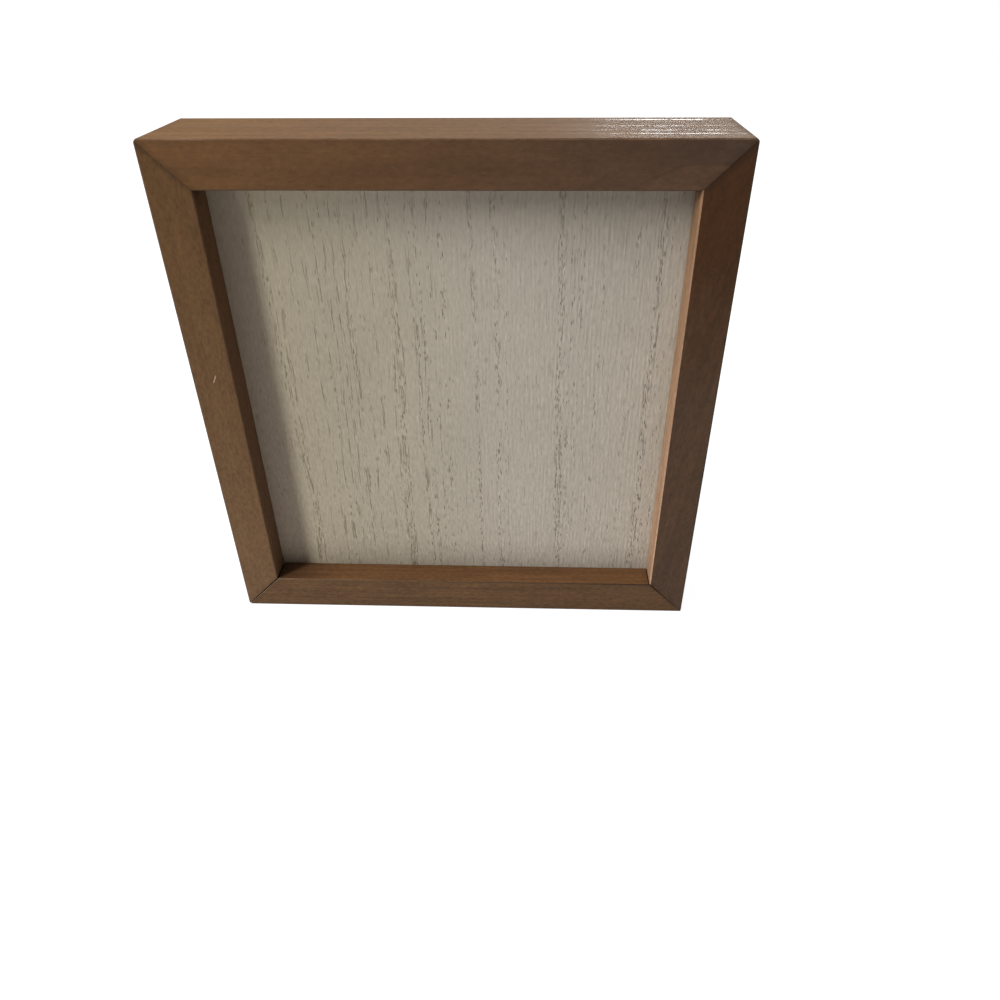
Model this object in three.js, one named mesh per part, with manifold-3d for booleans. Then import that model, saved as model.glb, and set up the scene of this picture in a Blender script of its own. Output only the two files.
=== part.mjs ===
// A deep box frame: four mitred rails round a recessed display panel.
// Behind the panel, spacer strips fill the rebate up to a back board, which turn buttons hold in.
// Millimetres, +Z up, front towards -Y. The origin is the middle of the sole that the frame stands on.
import * as THREE from "three";
import { mergeVertices } from "three/addons/utils/BufferGeometryUtils.js";
import Module from "manifold-3d";

const wasm = await Module();
wasm.setup();

// Rails
const FRAME_WIDTH = 200; // outside, left to right
const FRAME_HEIGHT = 200; // outside, bottom to top
const FRAME_DEPTH = 40; // front face to back edge
const FACE_WIDTH = 16; // width of a rail seen from the front
const RECESS_DEPTH = 11.5; // from the front face back to the display panel
const REBATE_WIDTH = 6; // step behind the lip, in which the panel sits
const ARRIS = 0.6; // corner sanded off along a rail's edges
const MITRE_GAP = 0.3; // open seam at a corner, measured square to the seam

// Panel, spacer strips and back board
const PANEL_THICKNESS = 5;
const BACK_BOARD_THICKNESS = 3;
const SPACER_WIDTH = 5;

// V-nails across each mitre: one in the back edge and one in the lip
const V_NAIL_THICKNESS = 0.6;
const BACK_V_NAIL_LEG = 5;
const BACK_V_NAIL_HEIGHT = 10;
const LIP_V_NAIL_LEG = 4;
const LIP_V_NAIL_HEIGHT = 7;

// Turn buttons and their screws
const BUTTON_LENGTH = 26;
const BUTTON_WIDTH = 9;
const BUTTON_THICKNESS = 1;
const BUTTON_TIP_LENGTH = 4; // far end, bent up for a fingernail
const BUTTON_TIP_RISE = 1;
const BUTTON_SPACING = 100; // between the two buttons on a stile
const SCREW_DIAMETER = 3;
const SCREW_LENGTH = 12; // under the head
const SCREW_POINT = 4;
const SCREW_HEAD_DIAMETER = 6;
const SCREW_HEAD_RIM = 0.6; // straight side below the dome
const SCREW_HEAD_DOME = 1.2;
const CROSS_LENGTH = 3.4; // cross recess in a screw's head
const CROSS_WIDTH = 0.7;
const CROSS_DEPTH = 1;

// Sawtooth hanger and its nails
const HANGER_LENGTH = 45;
const HANGER_HEIGHT = 8.5;
const HANGER_THICKNESS = 0.8;
const HANGER_RISE = 1.6; // how far the toothed middle stands off its flat ends
const HANGER_TAB = 8; // flat end that takes a nail
const HANGER_RAMP = 2.5; // from a flat end up to the middle
const TOOTH_COUNT = 7;
const TOOTH_PITCH = 3;
const TOOTH_DEPTH = 1.6;
const NAIL_DIAMETER = 1.5;
const NAIL_LENGTH = 10; // under the head
const NAIL_POINT = 2;
const NAIL_HEAD_DIAMETER = 3.6;
const NAIL_HEAD_RIM = 0.3;
const NAIL_HEAD_DOME = 0.4;

// Wall bumpers, thicker than anything else on the back
const BUMPER_DIAMETER = 9;
const BUMPER_FACE_DIAMETER = 7; // flat end that meets the wall
const BUMPER_THICKNESS = 3.5;
const BUMPER_TAPER = 1.5; // thickness over which it narrows to the flat end
const BUMPER_INSET = 17; // from the frame's side to the bumper's middle

// Clearances
const SEAT_GAP = 0.3; // between two pieces that seat on each other
const SHEET_GAP = 0.5; // round the panel and the back board
const SLOT_GAP = 0.2; // between a V-nail and its slot
const PILOT_GAP = 0.2; // between a screw or nail and its hole in the wood
const RUNNING_GAP = 0.3; // between a turn button and its screw

const ROUND_SEGMENTS = 20;
const DOME_STEPS = 3;
const QUARTER_TURN = Math.PI / 2;
const HALF_TURN = Math.PI;
const FULL_TURN = 2 * Math.PI;

// Places that several pieces share
const SIDE = FRAME_WIDTH / 2;
const MIDDLE = FRAME_HEIGHT / 2;
const FRONT = -FRAME_DEPTH / 2;
const BACK = FRAME_DEPTH / 2;
const PANEL_FACE = FRONT + RECESS_DEPTH;
const PANEL_BACK = PANEL_FACE + PANEL_THICKNESS;
const SHOULDER = PANEL_FACE - SEAT_GAP; // back of the lip, on which the panel seats
const BOARD_FACE = BACK - BACK_BOARD_THICKNESS;
const EDGE_WIDTH = FACE_WIDTH - REBATE_WIDTH; // of a rail's back edge
const EDGE_MIDDLE = EDGE_WIDTH / 2;
const LIP_MIDDLE = EDGE_WIDTH + REBATE_WIDTH / 2;
const REBATE_ACROSS = FRAME_WIDTH - 2 * EDGE_WIDTH;
const REBATE_UP = FRAME_HEIGHT - 2 * EDGE_WIDTH;
const HARDWARE_SEAT = BACK + SEAT_GAP; // underside of what lies on the back edge
const SCREW_SEAT = HARDWARE_SEAT + BUTTON_THICKNESS + RUNNING_GAP;
const NAIL_SEAT = HARDWARE_SEAT + HANGER_THICKNESS + SEAT_GAP;
const NAIL_SPACING = HANGER_LENGTH - HANGER_TAB;

// Finishes
const WALNUT_STAIN = { color: 0x644830, roughness: 0.5, metalness: 0 };
const LIMED_WOOD = { color: 0xa79e8c, roughness: 0.75, metalness: 0 };
const HARDBOARD = { color: 0x7a5a3c, roughness: 0.8, metalness: 0 };
const BARE_PINE = { color: 0xc9a877, roughness: 0.8, metalness: 0 };
const ZINC_STEEL = { color: 0xb9bcc0, roughness: 0.35, metalness: 1 };
const BLUED_STEEL = { color: 0x6d7278, roughness: 0.4, metalness: 1 };
const BLACK_RUBBER = { color: 0x34312f, roughness: 0.7, metalness: 0 };

// Cutting and joining

function solidOf(geometry) {
  const bare = geometry.clone();
  bare.deleteAttribute("normal");
  bare.deleteAttribute("uv");
  const merged = mergeVertices(bare);
  return new wasm.Manifold(
    new wasm.Mesh({
      numProp: 3,
      vertProperties: new Float32Array(merged.attributes.position.array),
      triVerts: new Uint32Array(merged.index.array),
    }),
  );
}

function geometryOf(solid) {
  const { vertProperties, triVerts } = solid.getMesh();
  const geometry = new THREE.BufferGeometry();
  geometry.setAttribute("position", new THREE.BufferAttribute(vertProperties, 3));
  geometry.setIndex(new THREE.BufferAttribute(triVerts, 1));
  const flat = geometry.toNonIndexed();
  flat.computeVertexNormals();
  return flat;
}

function cut(geometry, tools) {
  const whole = solidOf(geometry);
  return geometryOf(tools.reduce((rest, tool) => rest.subtract(solidOf(tool)), whole));
}

// Basic forms

function piece(name, geometry, finish) {
  const mesh = new THREE.Mesh(geometry, new THREE.MeshStandardMaterial(finish));
  mesh.name = name;
  return mesh;
}

const polygon = (points) => new THREE.Shape(points.map(([x, y]) => new THREE.Vector2(x, y)));

const extrude = (shape, depth) =>
  new THREE.ExtrudeGeometry(shape, {
    depth,
    bevelEnabled: false,
    curveSegments: ROUND_SEGMENTS / 2,
  });

// A flat piece drawn in X and Z, with its thickness from y = near to y = far.
function plate(shape, near, far) {
  const geometry = extrude(shape, far - near);
  geometry.rotateX(QUARTER_TURN);
  geometry.translate(0, far, 0);
  return geometry;
}

// A pressed sheet: an outline drawn in X and Z, kept where a bent section drawn in X and Y passes.
// The reach is a distance that takes in all of the piece.
function pressing(outline, section, reach) {
  const bent = extrude(section, 2 * reach);
  bent.translate(0, 0, -reach);
  return geometryOf(solidOf(plate(outline, -reach, reach)).intersect(solidOf(bent)));
}

function block(width, near, far, height) {
  const geometry = new THREE.BoxGeometry(width, far - near, height);
  geometry.translate(0, (near + far) / 2, 0);
  return geometry;
}

// A round piece on the Y axis, from profile points [radius, y] that run up from the lower end.
const turned = (profile) =>
  new THREE.LatheGeometry(
    profile.map(([radius, y]) => new THREE.Vector2(radius, y)),
    ROUND_SEGMENTS,
  );

// Profile points of a low dome that starts at a rim's radius and height and closes on the axis.
function dome(radius, base, rise) {
  return Array.from({ length: DOME_STEPS + 1 }, (_, step) => {
    const angle = (QUARTER_TURN * step) / DOME_STEPS;
    return [step < DOME_STEPS ? radius * Math.cos(angle) : 0, base + rise * Math.sin(angle)];
  });
}

// A pointed shank below y = 0 with a domed head above it: a screw's or a nail's profile.
const headedProfile = (shank, length, point, head, rim, rise) => [
  [0, -length],
  [shank / 2, point - length],
  [shank / 2, 0],
  [head / 2, 0],
  ...dome(head / 2, rim, rise),
];

// V-nails

const V_NAIL_PLACES = [
  {
    name: "back",
    inset: EDGE_MIDDLE, // from the rails' outsides to the point of the V
    driven: BACK, // face that the nail is driven in from
    leg: BACK_V_NAIL_LEG,
    height: BACK_V_NAIL_HEIGHT,
  },
  {
    name: "lip",
    inset: LIP_MIDDLE,
    driven: SHOULDER,
    leg: LIP_V_NAIL_LEG,
    height: LIP_V_NAIL_HEIGHT,
  },
];

// A right-angled V with its point at the origin and one leg along each rail of a top left corner.
function vNailOutline(leg, grow) {
  const half = V_NAIL_THICKNESS / 2 + grow;
  const end = leg + grow;
  return polygon([
    [-half, half],
    [-half, -end],
    [half, -end],
    [half, -half],
    [end, -half],
    [end, half],
  ]);
}

const vNail = ({ leg, height, driven }) => plate(vNailOutline(leg, 0), driven - height, driven);

// Slots at one corner of a rail, open at the face that each nail is driven in from.
function vNailSlots(cornerX, turn) {
  return V_NAIL_PLACES.map(({ inset, leg, height, driven }) => {
    const outline = vNailOutline(leg, SLOT_GAP);
    const slot = plate(outline, driven - height - SLOT_GAP, driven + SLOT_GAP);
    slot.translate(inset, 0, -inset);
    slot.rotateY(turn);
    slot.translate(cornerX, 0, 0);
    return slot;
  });
}

// Each corner is the top left one, turned by quarter turns.
function cornerNails() {
  const group = new THREE.Group();
  const corners = [
    ["top_left", -SIDE, FRAME_HEIGHT],
    ["top_right", SIDE, FRAME_HEIGHT],
    ["bottom_right", SIDE, 0],
    ["bottom_left", -SIDE, 0],
  ];
  corners.forEach(([corner, x, z], turns) => {
    const holder = new THREE.Group();
    holder.position.set(x, 0, z);
    holder.rotation.y = turns * QUARTER_TURN;
    for (const place of V_NAIL_PLACES) {
      const nail = piece(`v_nail_${place.name}_${corner}`, vNail(place), BLUED_STEEL);
      nail.position.set(place.inset, 0, -place.inset);
      holder.add(nail);
    }
    group.add(holder);
  });
  return group;
}

// Rails and stiles

// Section across a rail: x is the distance in from the outside, y runs from front to back.
const railSection = () =>
  polygon([
    [ARRIS, FRONT],
    [FACE_WIDTH - ARRIS, FRONT],
    [FACE_WIDTH, FRONT + ARRIS],
    [FACE_WIDTH, SHOULDER],
    [EDGE_WIDTH, SHOULDER],
    [EDGE_WIDTH, BACK],
    [ARRIS, BACK],
    [0, BACK - ARRIS],
    [0, FRONT + ARRIS],
  ]);

// A rail along X with its outside at z = 0, mitred at both ends, then slotted and drilled.
function rail(length, pilotHoles) {
  const bar = extrude(railSection(), length);
  bar.translate(0, 0, -length / 2);
  const seam = MITRE_GAP * Math.SQRT1_2; // half the gap, measured along the rail
  const points = bar.getAttribute("position");
  for (let i = 0; i < points.count; i++) {
    const inset = points.getX(i);
    const end = length / 2 - inset - seam;
    points.setXYZ(i, Math.sign(points.getZ(i)) * end, points.getY(i), -inset);
  }
  return cut(bar, [
    ...vNailSlots(-length / 2, 0),
    ...vNailSlots(length / 2, QUARTER_TURN),
    ...pilotHoles,
  ]);
}

// Two holes from the back edge into a rail, for fasteners that seat at a given height over it.
function pilotPair(diameter, length, seat, spacing) {
  const bite = length - (seat - BACK) + PILOT_GAP;
  const radius = diameter / 2 + PILOT_GAP;
  return [-spacing / 2, spacing / 2].map((x) => {
    const drill = new THREE.CylinderGeometry(radius, radius, 2 * bite, ROUND_SEGMENTS);
    drill.translate(x, BACK, -EDGE_MIDDLE);
    return drill;
  });
}

function rails() {
  const group = new THREE.Group();
  const screwHoles = pilotPair(SCREW_DIAMETER, SCREW_LENGTH, SCREW_SEAT, BUTTON_SPACING);
  const nailHoles = pilotPair(NAIL_DIAMETER, NAIL_LENGTH, NAIL_SEAT, NAIL_SPACING);
  const place = (name, length, pilotHoles, turn, x, z) => {
    const mesh = piece(name, rail(length, pilotHoles), WALNUT_STAIN);
    mesh.rotation.y = turn;
    mesh.position.set(x, 0, z);
    group.add(mesh);
  };
  place("top_rail", FRAME_WIDTH, nailHoles, 0, 0, FRAME_HEIGHT);
  place("bottom_rail", FRAME_WIDTH, [], HALF_TURN, 0, 0);
  place("left_stile", FRAME_HEIGHT, screwHoles, -QUARTER_TURN, -SIDE, MIDDLE);
  place("right_stile", FRAME_HEIGHT, screwHoles, QUARTER_TURN, SIDE, MIDDLE);
  return group;
}

// Panel, spacer strips and back board

function rebateSheet(name, near, far, finish) {
  const width = REBATE_ACROSS - 2 * SHEET_GAP;
  const height = REBATE_UP - 2 * SHEET_GAP;
  const sheet = piece(name, block(width, near, far, height), finish);
  sheet.position.z = MIDDLE;
  return sheet;
}

// Upright strips run the full height of the rebate, and level ones fit between them.
function spacers() {
  const group = new THREE.Group();
  const inset = SEAT_GAP + SPACER_WIDTH / 2;
  const offsetX = REBATE_ACROSS / 2 - inset;
  const offsetZ = REBATE_UP / 2 - inset;
  const upright = REBATE_UP - 2 * SEAT_GAP;
  const level = REBATE_ACROSS - 2 * (SPACER_WIDTH + 2 * SEAT_GAP);
  const strip = (name, width, height, x, z) => {
    const wood = block(width, PANEL_BACK + SEAT_GAP, BOARD_FACE - SEAT_GAP, height);
    const mesh = piece(name, wood, BARE_PINE);
    mesh.position.set(x, 0, z);
    group.add(mesh);
  };
  strip("spacer_left", SPACER_WIDTH, upright, -offsetX, 0);
  strip("spacer_right", SPACER_WIDTH, upright, offsetX, 0);
  strip("spacer_top", level, SPACER_WIDTH, 0, offsetZ);
  strip("spacer_bottom", level, SPACER_WIDTH, 0, -offsetZ);
  group.position.z = MIDDLE;
  return group;
}

// Turn buttons

// A round-ended tongue along X that pivots at the origin, with its far end bent up.
function turnButton() {
  const radius = BUTTON_WIDTH / 2;
  const far = BUTTON_LENGTH - radius;
  const bend = far - BUTTON_TIP_LENGTH;
  const outline = new THREE.Shape();
  outline.absarc(0, 0, radius, QUARTER_TURN, 3 * QUARTER_TURN);
  outline.absarc(far - radius, 0, radius, -QUARTER_TURN, QUARTER_TURN);
  const pivot = new THREE.Path();
  pivot.absarc(0, 0, SCREW_DIAMETER / 2 + RUNNING_GAP, 0, FULL_TURN, true);
  outline.holes.push(pivot);
  const section = polygon([
    [-radius, 0],
    [bend, 0],
    [far, BUTTON_TIP_RISE],
    [far, BUTTON_TIP_RISE + BUTTON_THICKNESS],
    [bend, BUTTON_THICKNESS],
    [-radius, BUTTON_THICKNESS],
  ]);
  return pressing(outline, section, BUTTON_LENGTH);
}

// A domed wood screw with a cross recess, its head seated at y = 0.
function screw() {
  const body = turned(
    headedProfile(
      SCREW_DIAMETER,
      SCREW_LENGTH,
      SCREW_POINT,
      SCREW_HEAD_DIAMETER,
      SCREW_HEAD_RIM,
      SCREW_HEAD_DOME,
    ),
  );
  const slots = [
    new THREE.BoxGeometry(CROSS_LENGTH, 2 * CROSS_DEPTH, CROSS_WIDTH),
    new THREE.BoxGeometry(CROSS_WIDTH, 2 * CROSS_DEPTH, CROSS_LENGTH),
  ];
  slots.forEach((slot) => slot.translate(0, SCREW_HEAD_RIM + SCREW_HEAD_DOME, 0));
  return cut(body, slots);
}

// Two buttons on each stile, each pointing in over the back board.
function turnButtons() {
  const group = new THREE.Group();
  const pivotX = SIDE - EDGE_MIDDLE;
  const sides = [["left", -pivotX, 0], ["right", pivotX, HALF_TURN]];
  const levels = [["upper", BUTTON_SPACING / 2], ["lower", -BUTTON_SPACING / 2]];
  for (const [side, x, turn] of sides) {
    for (const [level, offset] of levels) {
      const button = piece(`turn_button_${level}_${side}`, turnButton(), ZINC_STEEL);
      button.position.set(x, HARDWARE_SEAT, MIDDLE + offset);
      button.rotation.y = turn;
      const fixing = piece(`button_screw_${level}_${side}`, screw(), ZINC_STEEL);
      fixing.position.set(x, SCREW_SEAT, MIDDLE + offset);
      group.add(button, fixing);
    }
  }
  return group;
}

// Hanger

// The plate seen from the back: a strip with teeth along the middle of its lower edge.
function hangerOutline() {
  const half = HANGER_LENGTH / 2;
  const top = HANGER_HEIGHT / 2;
  const toothed = (TOOTH_COUNT * TOOTH_PITCH) / 2;
  const teeth = Array.from({ length: TOOTH_COUNT }, (_, tooth) => {
    const start = tooth * TOOTH_PITCH - toothed;
    return [[start, -top], [start + TOOTH_PITCH / 2, TOOTH_DEPTH - top]];
  }).flat();
  const outline = polygon([
    [half, top],
    [-half, top],
    [-half, -top],
    ...teeth,
    [toothed, -top],
    [half, -top],
  ]);
  for (const x of [-NAIL_SPACING / 2, NAIL_SPACING / 2]) {
    const nailHole = new THREE.Path();
    nailHole.absarc(x, 0, NAIL_DIAMETER / 2 + SEAT_GAP, 0, FULL_TURN, true);
    outline.holes.push(nailHole);
  }
  return outline;
}

// The plate seen from above: flat ends, ramps and a raised middle.
function hangerSection() {
  const half = HANGER_LENGTH / 2;
  const foot = half - HANGER_TAB;
  const crown = foot - HANGER_RAMP;
  const under = [
    [-half, 0],
    [-foot, 0],
    [-crown, HANGER_RISE],
    [crown, HANGER_RISE],
    [foot, 0],
    [half, 0],
  ];
  const over = under.map(([x, y]) => [x, y + HANGER_THICKNESS]);
  return polygon([...under, ...over.reverse()]);
}

const hangerNail = () =>
  turned(
    headedProfile(
      NAIL_DIAMETER,
      NAIL_LENGTH,
      NAIL_POINT,
      NAIL_HEAD_DIAMETER,
      NAIL_HEAD_RIM,
      NAIL_HEAD_DOME,
    ),
  );

function hanger() {
  const group = new THREE.Group();
  group.position.z = FRAME_HEIGHT - EDGE_MIDDLE;
  const sheet = pressing(hangerOutline(), hangerSection(), HANGER_LENGTH);
  const teeth = piece("sawtooth_hanger", sheet, ZINC_STEEL);
  teeth.position.y = HARDWARE_SEAT;
  group.add(teeth);
  for (const [side, x] of [["left", -NAIL_SPACING / 2], ["right", NAIL_SPACING / 2]]) {
    const nail = piece(`hanger_nail_${side}`, hangerNail(), ZINC_STEEL);
    nail.position.set(x, NAIL_SEAT, 0);
    group.add(nail);
  }
  return group;
}

// Bumpers

const bumper = () =>
  turned([
    [0, 0],
    [BUMPER_DIAMETER / 2, 0],
    [BUMPER_DIAMETER / 2, BUMPER_THICKNESS - BUMPER_TAPER],
    [BUMPER_FACE_DIAMETER / 2, BUMPER_THICKNESS],
    [0, BUMPER_THICKNESS],
  ]);

function bumpers() {
  const group = new THREE.Group();
  const offset = SIDE - BUMPER_INSET;
  for (const [side, x] of [["left", -offset], ["right", offset]]) {
    const dot = piece(`bumper_${side}`, bumper(), BLACK_RUBBER);
    dot.position.set(x, HARDWARE_SEAT, EDGE_MIDDLE);
    group.add(dot);
  }
  return group;
}

// Assembly

const boxFrame = new THREE.Group();
boxFrame.add(
  rails(),
  cornerNails(),
  rebateSheet("display_panel", PANEL_FACE, PANEL_BACK, LIMED_WOOD),
  spacers(),
  rebateSheet("back_board", BOARD_FACE, BACK, HARDBOARD),
  turnButtons(),
  hanger(),
  bumpers(),
);

export default boxFrame;
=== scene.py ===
# %% [markdown]
# # A box frame in stained wood
# A square, deep frame, 200 mm across. Four mitred rails of stained wood stand round a limed board with
# upright grain, which is set back behind their front. From behind, a hardboard sheet closes the frame,
# and four turn buttons hold it. The measured model of the same frame is loaded first and is never
# changed: it gives every piece its size and its place.

# %% Load the measured model
import math

import bmesh
import bpy
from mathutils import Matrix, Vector


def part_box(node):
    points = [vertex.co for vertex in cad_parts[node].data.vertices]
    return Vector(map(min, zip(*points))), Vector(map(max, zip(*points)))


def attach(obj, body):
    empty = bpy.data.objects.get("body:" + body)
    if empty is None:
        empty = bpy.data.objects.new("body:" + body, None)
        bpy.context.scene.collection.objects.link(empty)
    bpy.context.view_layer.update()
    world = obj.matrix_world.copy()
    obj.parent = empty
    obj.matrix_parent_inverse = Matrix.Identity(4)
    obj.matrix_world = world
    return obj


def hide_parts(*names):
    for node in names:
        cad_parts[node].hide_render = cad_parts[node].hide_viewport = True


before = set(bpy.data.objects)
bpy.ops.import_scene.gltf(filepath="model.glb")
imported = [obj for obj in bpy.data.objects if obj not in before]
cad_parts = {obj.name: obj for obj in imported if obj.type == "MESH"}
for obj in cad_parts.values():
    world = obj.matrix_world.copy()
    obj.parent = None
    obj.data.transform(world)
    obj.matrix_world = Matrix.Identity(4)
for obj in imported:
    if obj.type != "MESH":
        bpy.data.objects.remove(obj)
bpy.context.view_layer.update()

# %% Read the sizes that several pieces share
MM = 0.001
SEAT_GAP = 0.3 * MM  # between pieces that seat on each other
SHEET_GAP = 0.5 * MM  # round the panel and the back board

rail_low, rail_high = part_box("top_rail")
panel_low, panel_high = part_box("display_panel")
board_edge_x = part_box("back_board")[1].x
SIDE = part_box("right_stile")[1].x
HEIGHT = rail_high.z
FRONT, BACK = rail_low.y, rail_high.y
FACE = rail_high.z - rail_low.z
SHOULDER = panel_low.y - SEAT_GAP  # back of the lip that the panel seats on
EDGE = SIDE - board_edge_x - SHEET_GAP  # width of a rail's back edge
print(f"{2 * SIDE / MM:.1f} mm wide, {HEIGHT / MM:.1f} high, {(BACK - FRONT) / MM:.1f} deep")
print(f"rail face {FACE / MM:.1f} mm, back edge {EDGE / MM:.1f} mm")

# %% [markdown]
# ## Camera
# The frame was seen from above and close by, through a wide lens. That gives the strong taper from top
# to bottom. A camera can be placed by eye, but these numbers put all eight outer corners within a pixel
# or so of where they were seen.

# %% Place the camera
CAMERA_PLACE = (0.02759, -0.28688, 0.24594)
CAMERA_TURN = (55.293, 0.385, 1.921)  # degrees
LENS, SENSOR = 28, 36  # mm

bpy.ops.object.camera_add(location=CAMERA_PLACE, rotation=[math.radians(turn) for turn in CAMERA_TURN])
camera = bpy.context.object
camera.name = "camera"
camera.data.lens, camera.data.sensor_width = LENS, SENSOR
bpy.context.scene.camera = camera
bpy.context.scene.view_settings.view_transform = "Standard"
distance = (camera.location - (panel_low + panel_high) / 2).length
print(f"camera stands {distance:.3f} m from the panel")

# %% [markdown]
# ## Nodes by hand
# Every finish below is a small graph of nodes. They could be clicked together in the shader editor, but
# here a helper adds a node and fills its sockets in one line, each with a value or a link.


# %% A helper that builds node graphs
class Graph:
    """The nodes of one material or of the world."""

    def __init__(self, owner):
        owner.use_nodes = True
        self.tree = owner.node_tree

    def fill(self, node, sockets):
        """Sets each named socket to a value, or links it to another node's output."""
        for name, value in sockets.items():
            if isinstance(value, bpy.types.NodeSocket):
                self.tree.links.new(value, node.inputs[name])
            else:
                node.inputs[name].default_value = value
        return node

    def add(self, kind, sockets=None, **settings):
        node = self.tree.nodes.new("ShaderNode" + kind)
        for name, value in settings.items():
            setattr(node, name, value)
        return self.fill(node, sockets or {})

    def maths(self, operation, first, second=0.0):
        return self.add("Math", {0: first, 1: second}, operation=operation).outputs[0]

    def times(self, first, *others):
        for other in others:
            first = self.maths("MULTIPLY", first, other)
        return first

    def spread(self, value, low, high, to_low=0.0, to_high=1.0):
        """Carries a value from one range to another, and holds it at the ends."""
        ends = {"From Min": low, "From Max": high, "To Min": to_low, "To Max": to_high}
        return self.add("MapRange", {"Value": value, **ends}).outputs["Result"]

    def mix(self, factor, first, second, kind="MIX"):
        sockets = {0: factor, 6: first, 7: second}
        return self.add("Mix", sockets, data_type="RGBA", blend_type=kind).outputs[2]

    def shade(self, colour, value):
        """Makes a colour lighter or darker by a value that varies over the surface."""
        grey = self.add("CombineColor", {"Red": value, "Green": value, "Blue": value}).outputs[0]
        return self.mix(1.0, colour, grey, "MULTIPLY")


def tone(red, green, blue):
    """A colour as it looks on screen, 0 to 255, in the linear values that sockets take."""
    parts = [c / 255 for c in (red, green, blue)]
    linear = [c / 12.92 if c <= 0.04045 else ((c + 0.055) / 1.055) ** 2.4 for c in parts]
    return (*linear, 1.0)


print("middle grey is", [round(c, 3) for c in tone(128, 128, 128)])

# %% [markdown]
# ## Floor and light
# The frame stands on a plain white floor, which throws much light back up. A tall narrow window at the
# left gives the panel its slanting shadow along the left stile: narrow, so that the shadow's edge stays
# fairly sharp, and tall, so that the top rail's shadow is soft. A light overhead brightens what faces
# up. Behind, at the right, a wide window lights the back and the right side, and a small low one only
# shows as a gleam on the top of the frame. Sun lamps would give harder shadows.

# %% Light the studio
AMBIENT = 0.12
world = bpy.data.worlds.new("studio")
bpy.context.scene.world = world
studio = Graph(world)


def seen_directly(graph):
    """1 for what the camera sees, also mirrored or through glass, and 0 for light on a surface."""
    path = graph.add("LightPath").outputs
    mirrored = graph.maths("MAXIMUM", path["Is Glossy Ray"], path["Is Transmission Ray"])
    return graph.maths("MAXIMUM", path["Is Camera Ray"], mirrored)


backdrop = studio.tree.nodes["Background"]
white_or_dim = studio.spread(seen_directly(studio), 0, 1, AMBIENT, 1)
studio.fill(backdrop, {"Color": (1, 1, 1, 1), "Strength": white_or_dim})


def add_window(name, place, aim, width, height, power):
    """An area lamp that faces a point."""
    way = Vector(aim) - Vector(place)
    turn = way.to_track_quat("-Z", "Y").to_euler()
    bpy.ops.object.light_add(type="AREA", location=place, rotation=turn)
    lamp = bpy.context.object
    lamp.name = name
    lamp.data.shape = "RECTANGLE"
    lamp.data.size, lamp.data.size_y = width, height
    lamp.data.energy = power
    lamp.visible_camera = False


add_window("left_window", (-2.95, -2.40, 3.36), (0, 0, 0.1), 0.8, 3.9, 250)
add_window("overhead_window", (0, 0.1, 2.0), (0, 0.1, 0), 0.7, 0.7, 16.5)
add_window("back_window", (3.0, 1.7, 1.5), (0, 0, 0.1), 1.6, 1.6, 46)
add_window("rear_window", (0.71, 3.9, 0.83), (0.07, 0, 0.2), 0.58, 0.25, 5.5)
print("four windows, ambient light", AMBIENT)

# %% Lay the floor
FLOOR_SIZE, FLOOR_DROP = 4, 0.05 * MM
FLOOR_GLOW = 0.87  # only where it is seen, so that it is white and hardly shows a shadow

bpy.ops.mesh.primitive_plane_add(size=FLOOR_SIZE, location=(0, 0, -FLOOR_DROP))
floor = bpy.context.object
floor.name = "floor"
floor_paint = bpy.data.materials.new("floor_paint")
paint = Graph(floor_paint)
seen = seen_directly(paint)
paint.fill(
    paint.tree.nodes["Principled BSDF"],
    {
        "Base Color": paint.mix(seen, (0.58, 0.58, 0.58, 1), (0.28, 0.28, 0.28, 1)),
        "Roughness": 0.9,
        "Specular IOR Level": 0.1,
        "Emission Color": (1, 1, 1, 1),
        "Emission Strength": paint.spread(seen, 0, 1, 0, FLOOR_GLOW),
    },
)
floor.data.materials.append(floor_paint)
print("floor", [round(side, 1) for side in floor.dimensions], "m")

# %% [markdown]
# ## Finishes for wood
# Seen closely, stained wood has several layers: broad bands and clouds where it took more stain, fine
# lines along the grain, the grit that sanding left, and small dark flecks where pores filled up. Each
# is a noise that is stretched along the grain, which is X in the rails and Z in the stiles. An image
# could show all that at once, but noise on a piece's own coordinates has no seams and stays sharp.


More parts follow.
